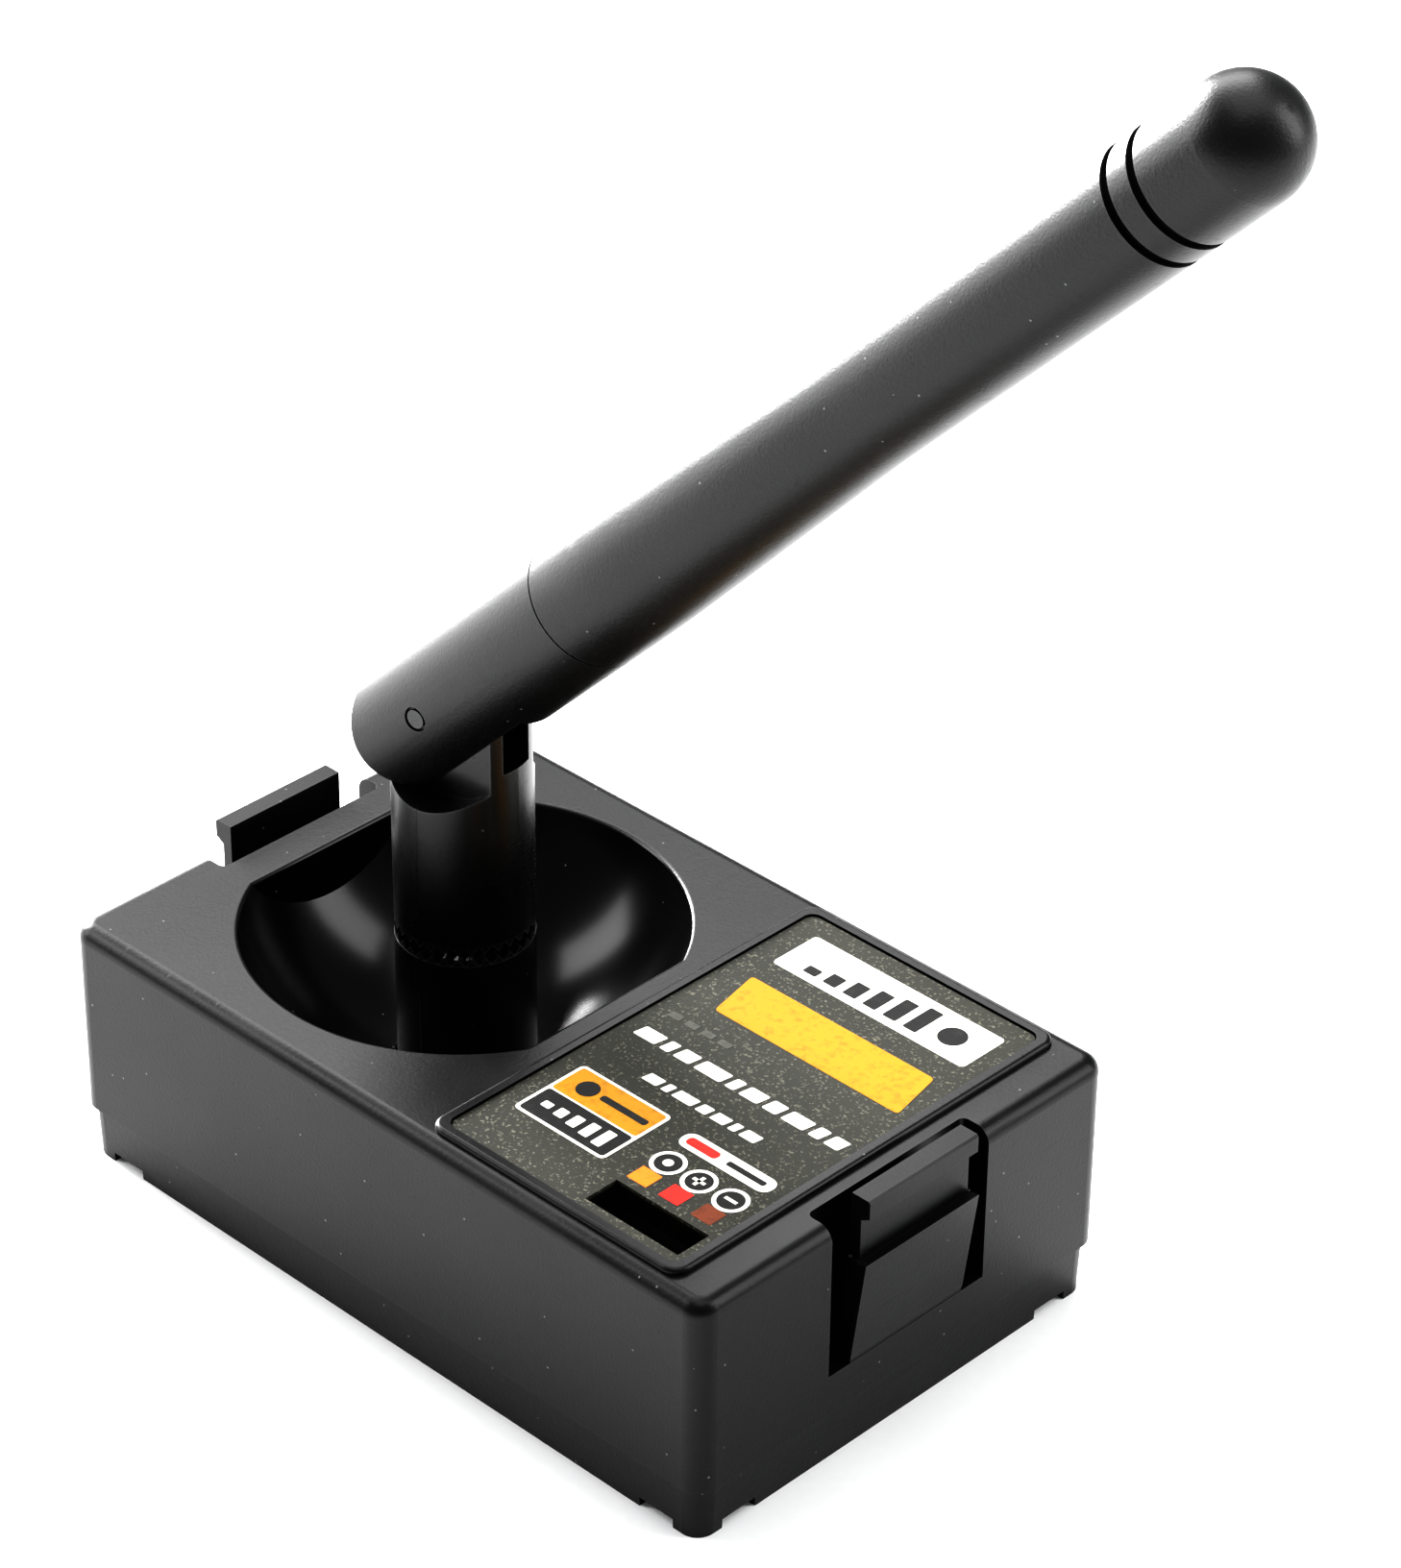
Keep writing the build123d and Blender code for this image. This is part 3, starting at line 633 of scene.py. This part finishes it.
class RADIO_OT_label_print(bpy.types.Operator):
    """Prints the label: a plate of level bars, a band, dashes, a two-tone patch and the contact marks"""

    bl_idname = "radio.label_print"
    bl_label = "Label print"

    def execute(self, context):
        look = context.scene.radio_label
        bar, dash, ring = look.bar_width / MM, look.dash_height / MM, look.ring_width / MM
        white, amber, black, red, orange, brown, grey = [], [], [], [], [], [], []
        # Plate of level bars
        white.append(printed_patch(15.3, 12.65, 16.6, 4.2, 0.35, 0))
        for step in range(6):
            tall = 0.8 + 0.4 * step
            black.append(printed_patch(9.6 + 1.75 * step, 11.25 + tall / 2, bar, tall, 0.12, 1))
        black.append(printed_disc(20.9, 12.65, 1.0, 1))
        # Band
        amber.append(printed_patch(15.2, 6.25, 15.9, 4.4, 0.3, 0, cut=0.9))
        # Dashes in two rows, and a faint short row over them
        start = 6.4
        for span in (1.9, 0.8, 1.4, 2.3, 0.8, 1.6, 1.2, 1.9, 0.9, 1.2):
            white.append(printed_patch(start + span / 2, -0.85, span, dash, 0.15, 0, cut=-0.2))
            start += span + 0.42
        start = 10.2
        for span in (1.3, 0.6, 1.7, 0.9, 1.2, 0.6, 1.3):
            white.append(printed_patch(start + span / 2, -4.1, span, dash * 0.75, 0.12, 0, cut=-0.15))
            start += span + 0.36
        for step in range(4):
            grey.append(printed_patch(6.9 + 1.45 * step, 1.8, 1.0, 0.6, 0.1, 0))
        # Two-tone patch with a white border
        white.append(printed_patch(10.5, -9.2, 7.9, 6.2, 0.4, 0))
        amber.append(printed_patch(10.5, -7.75, 7.4, 2.85, 0.25, 1))
        black.append(printed_patch(10.5, -10.7, 7.4, 2.7, 0.25, 1))
        black.append(printed_disc(8.6, -7.75, 0.8, 2))
        black.append(printed_patch(11.8, -7.75, 4.0, 0.55, 0.2, 2))
        for step in range(5):
            white.append(printed_patch(8.0 + 1.25 * step, -10.7, 0.75, 0.6 + 0.28 * step, 0.1, 2))
        # Contact strip, contact marks and colour keys beside the accessory port
        white.append(printed_patch(20.1, -7.05, 7.7, 1.55, 0.7, 0))
        red.append(printed_patch(18.0, -7.05, 2.6, 0.75, 0.3, 1))
        black.append(printed_patch(21.7, -7.05, 3.2, 0.45, 0.15, 1))
        for x in (17.55, 20.2, 22.9):
            white.append(printed_disc(x, -9.65, 1.2, 0))
            black.append(printed_disc(x, -9.65, 1.2 - ring, 1))
        for x in (20.2, 22.9):
            white.append(printed_patch(x, -9.65, 1.0, 0.26, 0.0, 2))
        white.append(printed_patch(20.2, -9.65, 0.26, 1.0, 0.0, 2))
        white.append(printed_disc(17.55, -9.65, 0.36, 2))
        orange.append(printed_patch(17.5, -11.65, 1.65, 1.5, 0.08, 0))
        red.append(printed_patch(20.15, -11.6, 1.65, 1.5, 0.08, 0))
        brown.append(printed_patch(22.9, -11.6, 1.65, 1.5, 0.08, 0))
        # Screen inks, each a thin even layer with the screen's mesh in its gloss
        for name, patches, colour, patchy in (
            ("white", white, (*look.ink_white, 1.0), srgb("B9B7AF")),
            ("amber", amber, (*look.ink_amber, 1.0), srgb("966708")),
            ("black", black, srgb("101010"), srgb("1C1C1B")),
            ("red", red, srgb("C2261C"), srgb("A32018")),
            ("orange", orange, srgb("E07A1E"), srgb("C66A18")),
            ("brown", brown, srgb("6A3218"), srgb("572812")),
            ("grey", grey, srgb("4A4A44"), srgb("3B3B36")),
        ):
            finish_print("print_" + name, patches, ink("screen_ink_" + name, colour, patchy))
        return {"FINISHED"}


class RADIO_OT_fixings(bpy.types.Operator):
    """Finishes the screws, washer, clip and collar nut"""

    bl_idname = "radio.fixings"
    bl_label = "Fixings"

    def execute(self, context):
        # Zinc-plated steel: bluish, bright, with plating mottle
        dress(["housing_screws", "board_screws"], metal("zinc_plated_steel", "C9CCD0", "A9ADB2", 0.3))
        # Spring steel, oiled and rolled
        dress(
            ["spring_washer", "retaining_clip"],
            metal("rolled_spring_steel", "8E8F92", "6C6D70", 0.28, lay=(0.1, 1.0, 1.0)),
        )
        # Turned nickel-plated brass nut
        dress(["collar_nut"], metal("nickel_plated_nut", "C8C2B4", "A89F8C", 0.22, lay=(1.0, 1.0, 6.0)))
        return {"FINISHED"}


class RADIO_OT_electronics(bpy.types.Operator):
    """Finishes the circuit board and all that is soldered to it"""

    bl_idname = "radio.electronics"
    bl_label = "Electronics"

    def execute(self, context):
        # Glass-epoxy board under green solder mask: the cloth's 0.5 mm weave shows through, over paler copper
        material, tree, shader = new_finish(
            "solder_masked_board",
            IOR=1.55,
            Coat_Weight=0.3,
            Coat_Roughness=0.2,
        )
        place = add_node(tree, "ShaderNodeTexCoord").outputs["Object"]
        warp = add_node(
            tree,
            "ShaderNodeTexWave",
            {"Scale": per_mm(0.5) / 20, "Distortion": 0.4},
            {"Vector": place},
            bands_direction="X",
        )
        weft = add_node(
            tree,
            "ShaderNodeTexWave",
            {"Scale": per_mm(0.5) / 20, "Distortion": 0.4},
            {"Vector": place},
            bands_direction="Y",
        )
        weave = add_node(
            tree,
            "ShaderNodeMath",
            links={0: warp.outputs["Fac"], 1: weft.outputs["Fac"]},
            operation="MULTIPLY",
        )
        tone = add_node(
            tree,
            "ShaderNodeMixRGB",
            {"Color1": srgb("0B3A22"), "Color2": srgb("125233")},
            {"Fac": weave.outputs["Value"]},
        )
        tracks = add_node(
            tree,
            "ShaderNodeTexBrick",
            {"Scale": per_mm(2.5), "Color1": srgb("1B6A43"), "Color2": srgb("14593A"), "Mortar Size": 0.08},
            {"Vector": place, "Mortar": tone.outputs["Color"]},
        )
        rough = add_node(
            tree,
            "ShaderNodeMapRange",
            {"To Min": 0.25, "To Max": 0.4},
            {"Value": weave.outputs["Value"]},
        )
        bump = add_node(tree, "ShaderNodeBump", {"Distance": 0.01 * MM}, {"Height": tracks.outputs["Fac"]})
        tree.links.new(tracks.outputs["Color"], shader.inputs["Base Color"])
        tree.links.new(rough.outputs["Result"], shader.inputs["Roughness"])
        tree.links.new(bump.outputs["Normal"], shader.inputs["Normal"])
        dress(["main_board"], material)
        # Glass-filled nylon headers: matt black, with fibres in the skin
        dress(
            ["port_shroud", "bay_socket"],
            plastic("glass_filled_nylon", "0C0C0C", "151515", 0.3, 0.02, (0.45, 0.6), specks=0.2),
        )
        # Gold flash over nickel on the pins, with wipe marks along them
        dress(
            ["port_pins", "coax_plug"],
            metal("gold_flashed_pins", "E8C15A", "C99B3A", 0.24, lay=(1.0, 1.0, 0.1), cell=0.2),
        )
        # Tinned steel can, folded, with a rolled lay
        dress(
            ["shield_can", "crystal"],
            metal("tinned_steel_can", "C4C6C8", "A2A4A6", 0.32, lay=(0.08, 1.0, 1.0)),
        )
        # Epoxy chip bodies: dark, dead matt, slightly pitted
        dress(
            ["radio_chip", "controller_chip"],
            plastic("moulded_chip_epoxy", "141414", "1D1D1E", 0.12, 0.02, (0.55, 0.7)),
        )
        # Drawn aluminium capacitor cans
        dress(["capacitors"], metal("drawn_aluminium_can", "D4D6D8", "B4B6B8", 0.25, lay=(1.0, 1.0, 0.1)))
        # Fluoropolymer jacket on the lead: waxy, brown
        dress(
            ["coax_lead", "whip_coax"],
            plastic("extruded_coax_jacket", "3B2415", "4C3020", 0.6, 0.01, (0.3, 0.42), ior=1.38),
        )
        return {"FINISHED"}


class RADIO_OT_mast(bpy.types.Operator):
    """Finishes the mast, its toothed collar and the hinge pins"""

    bl_idname = "radio.mast"
    bl_label = "Mast"

    def execute(self, context):
        # Moulded acetal: slippery, black, smoother than the housing, with a parting line down its front
        mast = plastic(
            "moulded_acetal_mast",
            "040404",
            "070707",
            0.3,
            0.006,
            (0.24, 0.32),
            specks=0.35,
            edge=0.12,
            ior=1.48,
            sheen=0.35,
        )
        tree = mast.node_tree
        shader = tree.nodes["Principled BSDF"]
        place = add_node(tree, "ShaderNodeTexCoord").outputs["Object"]
        side = add_node(
            tree,
            "ShaderNodeVectorMath",
            {1: (MAST_FACE[0], MAST_FACE[1], 0.0)},
            {0: place},
            operation="DOT_PRODUCT",
        )
        off = add_node(
            tree,
            "ShaderNodeMath",
            {1: DISH_X * MAST_FACE[0] * MM},
            {0: side.outputs["Value"]},
            operation="SUBTRACT",
        )
        away = add_node(tree, "ShaderNodeMath", links={0: off.outputs["Value"]}, operation="ABSOLUTE")
        ridge = add_node(
            tree,
            "ShaderNodeMapRange",
            {"From Min": 0.09 * MM, "From Max": 0.02 * MM},
            {"Value": away.outputs["Value"]},
        )
        first = shader.inputs["Normal"].links[0].from_socket
        line = add_node(
            tree,
            "ShaderNodeBump",
            {"Distance": 0.04 * MM},
            {"Height": ridge.outputs["Result"], "Normal": first},
        )
        tree.links.new(line.outputs["Normal"], shader.inputs["Normal"])
        dress(["mast", "swivel_collar"], mast)
        # Turned acetal pins, a shade lighter, with fine rings from the tool
        dress(
            ["hinge_pins"],
            plastic("turned_acetal_pin", "161617", "1E1E20", 0.1, 0.006, (0.28, 0.36), ior=1.48),
        )
        return {"FINISHED"}


class RADIO_OT_antenna(bpy.types.Operator):
    """Finishes the antenna's knuckle, its sheath and what is inside it"""

    bl_idname = "radio.antenna"
    bl_label = "Antenna"

    def execute(self, context):
        # Moulded ABS knuckle with the sheath's fine matt texture
        dress(
            ["whip_knuckle"],
            plastic(
                "moulded_abs_knuckle",
                "060606",
                "0B0B0B",
                0.2,
                0.014,
                (0.36, 0.42),
                specks=0.45,
                edge=0.05,
                ior=1.53,
                sheen=0.34,
            ),
        )
        # Elastomer sheath: soft, matt, fine even grain that catches dust
        dress(
            ["whip_sheath"],
            plastic(
                "moulded_elastomer_sheath",
                "060606",
                "0B0B0B",
                0.2,
                0.016,
                (0.36, 0.42),
                specks=0.55,
                edge=0.04,
                ior=1.5,
                sheen=0.34,
            ),
        )
        # Drawn brass, tarnished to a darker gold
        dress(
            ["dipole_sleeve", "radiator_rod"],
            metal("drawn_brass", "D2AE5E", "A9863F", 0.3, lay=(0.1, 0.1, 0.1)),
        )
        # White nylon spacer
        dress(
            ["rod_spacer"],
            plastic("moulded_nylon_spacer", "D6D2C6", "E4E1D8", 0.5, 0.01, (0.4, 0.5), ior=1.53),
        )
        return {"FINISHED"}


def soft_box(name, spot, aim, width, height, power):
    light = bpy.data.lights.new(name, "AREA")
    light.shape, light.size, light.size_y, light.energy = "RECTANGLE", width, height, power
    lamp = bpy.data.objects.new(name, light)
    bpy.context.scene.collection.objects.link(lamp)
    lamp.location = spot
    lamp.rotation_mode = "QUATERNION"
    lamp.rotation_quaternion = (Vector(aim) - Vector(spot)).to_track_quat("-Z", "Y")
    return lamp


class RADIO_OT_stage(bpy.types.Operator):
    """Makes the floor, the soft lights and the camera"""

    bl_idname = "radio.stage"
    bl_label = "Stage"

    def execute(self, context):
        look = context.scene.radio_stage
        clear_selection()
        bpy.ops.mesh.primitive_plane_add(size=look.floor_size, location=(0, 0, cad_box[0][2]))
        floor = set_in_mesh(context.object)
        floor.name = "stage_floor"
        # Matt seamless paper: near-white, with faint fibre
        material, tree, shader = new_finish("matt_paper_sweep", Roughness=0.9, Specular_IOR_Level=0.1)
        place = add_node(tree, "ShaderNodeTexCoord").outputs["Object"]
        fibre = add_node(tree, "ShaderNodeTexNoise", {"Scale": per_mm(0.8), "Detail": 2.0}, {"Vector": place})
        tone = add_node(
            tree,
            "ShaderNodeMixRGB",
            {"Color1": tuple(look.floor_colour) + (1.0,), "Color2": srgb("F8F8F8")},
            {"Fac": fibre.outputs["Fac"]},
        )
        tree.links.new(tone.outputs["Color"], shader.inputs["Base Color"])
        floor.data.materials.append(material)

        world = bpy.data.worlds.new("studio_air")
        context.scene.world = world
        world.use_nodes = True
        air = world.node_tree.nodes["Background"]
        air.inputs["Color"].default_value = srgb("F2F4F6")
        air.inputs["Strength"].default_value = 0.33
        context.scene.view_settings.view_transform = "Standard"
        context.scene.view_settings.look = "High Contrast"
        soft_box("overhead_box", (0.02, 0.05, 0.75), LIGHT_AIM, 0.7, 0.7, look.key_power * 1.4)
        soft_box("back_box", (-0.26, 0.24, 0.42), BACK_AIM, 0.3, 0.3, look.key_power * 0.85)
        soft_box("antenna_box", (-0.7, 0.12, 0.24), ANTENNA_AIM, 0.3, 0.35, look.side_power * 18)
        soft_box("left_box", (-0.34, -0.22, 0.22), LIGHT_AIM, 0.14, 0.34, look.side_power)
        soft_box("right_box", (0.30, 0.26, 0.24), LIGHT_AIM, 0.16, 0.36, look.side_power)

        camera = bpy.data.objects.new("camera", bpy.data.cameras.new("camera"))
        context.scene.collection.objects.link(camera)
        level = cos(CAMERA_HEIGHT)
        back = Vector((sin(CAMERA_TURN) * level, -cos(CAMERA_TURN) * level, sin(CAMERA_HEIGHT)))
        right = Vector((cos(CAMERA_TURN), sin(CAMERA_TURN), 0.0))
        up = back.cross(right)
        across = right * cos(CAMERA_ROLL) + up * sin(CAMERA_ROLL)
        upward = up * cos(CAMERA_ROLL) - right * sin(CAMERA_ROLL)
        spot = (CAMERA_TARGET + back * CAMERA_AWAY + across * CAMERA_ACROSS + upward * CAMERA_UP) * MM
        turn = Matrix((across, upward, back)).transposed().to_4x4()
        camera.matrix_world = Matrix.Translation(spot) @ turn
        camera.data.sensor_width = 36.0
        camera.data.lens = look.lens
        camera.data.clip_start, camera.data.clip_end = 0.01, 20.0
        context.scene.camera = camera
        return {"FINISHED"}


class RADIO_PT_panel(bpy.types.Panel):
    """Lists the module's pieces"""

    bl_idname = "RADIO_PT_panel"
    bl_label = "Radio Module"
    bl_space_type = "VIEW_3D"
    bl_region_type = "UI"
    bl_category = "Radio Module"

    def draw(self, context):
        layout = self.layout
        for piece in PIECE_OPERATORS:
            layout.operator(piece.bl_idname)
        for name in RadioLabelSettings.__annotations__:
            layout.prop(context.scene.radio_label, name)
        for name in RadioStageSettings.__annotations__:
            layout.prop(context.scene.radio_stage, name)


PIECE_OPERATORS = (
    RADIO_OT_stage,
    RADIO_OT_housing,
    RADIO_OT_flexures,
    RADIO_OT_label_film,
    RADIO_OT_label_print,
    RADIO_OT_fixings,
    RADIO_OT_electronics,
    RADIO_OT_mast,
    RADIO_OT_antenna,
)
CLASSES = (RadioLabelSettings, RadioStageSettings, *PIECE_OPERATORS, RADIO_PT_panel)


def register():
    for item in CLASSES:
        bpy.utils.register_class(item)
    bpy.types.Scene.radio_label = PointerProperty(type=RadioLabelSettings)
    bpy.types.Scene.radio_stage = PointerProperty(type=RadioStageSettings)


def unregister():
    del bpy.types.Scene.radio_stage
    del bpy.types.Scene.radio_label
    for item in reversed(CLASSES):
        bpy.utils.unregister_class(item)


def main():
    register()
    bpy.ops.radio.stage()
    bpy.ops.radio.housing()
    bpy.ops.radio.flexures()
    bpy.ops.radio.label_film()
    bpy.ops.radio.label_print()
    bpy.ops.radio.fixings()
    bpy.ops.radio.electronics()
    bpy.ops.radio.mast()
    bpy.ops.radio.antenna()


if __name__ == "__main__":
    main()
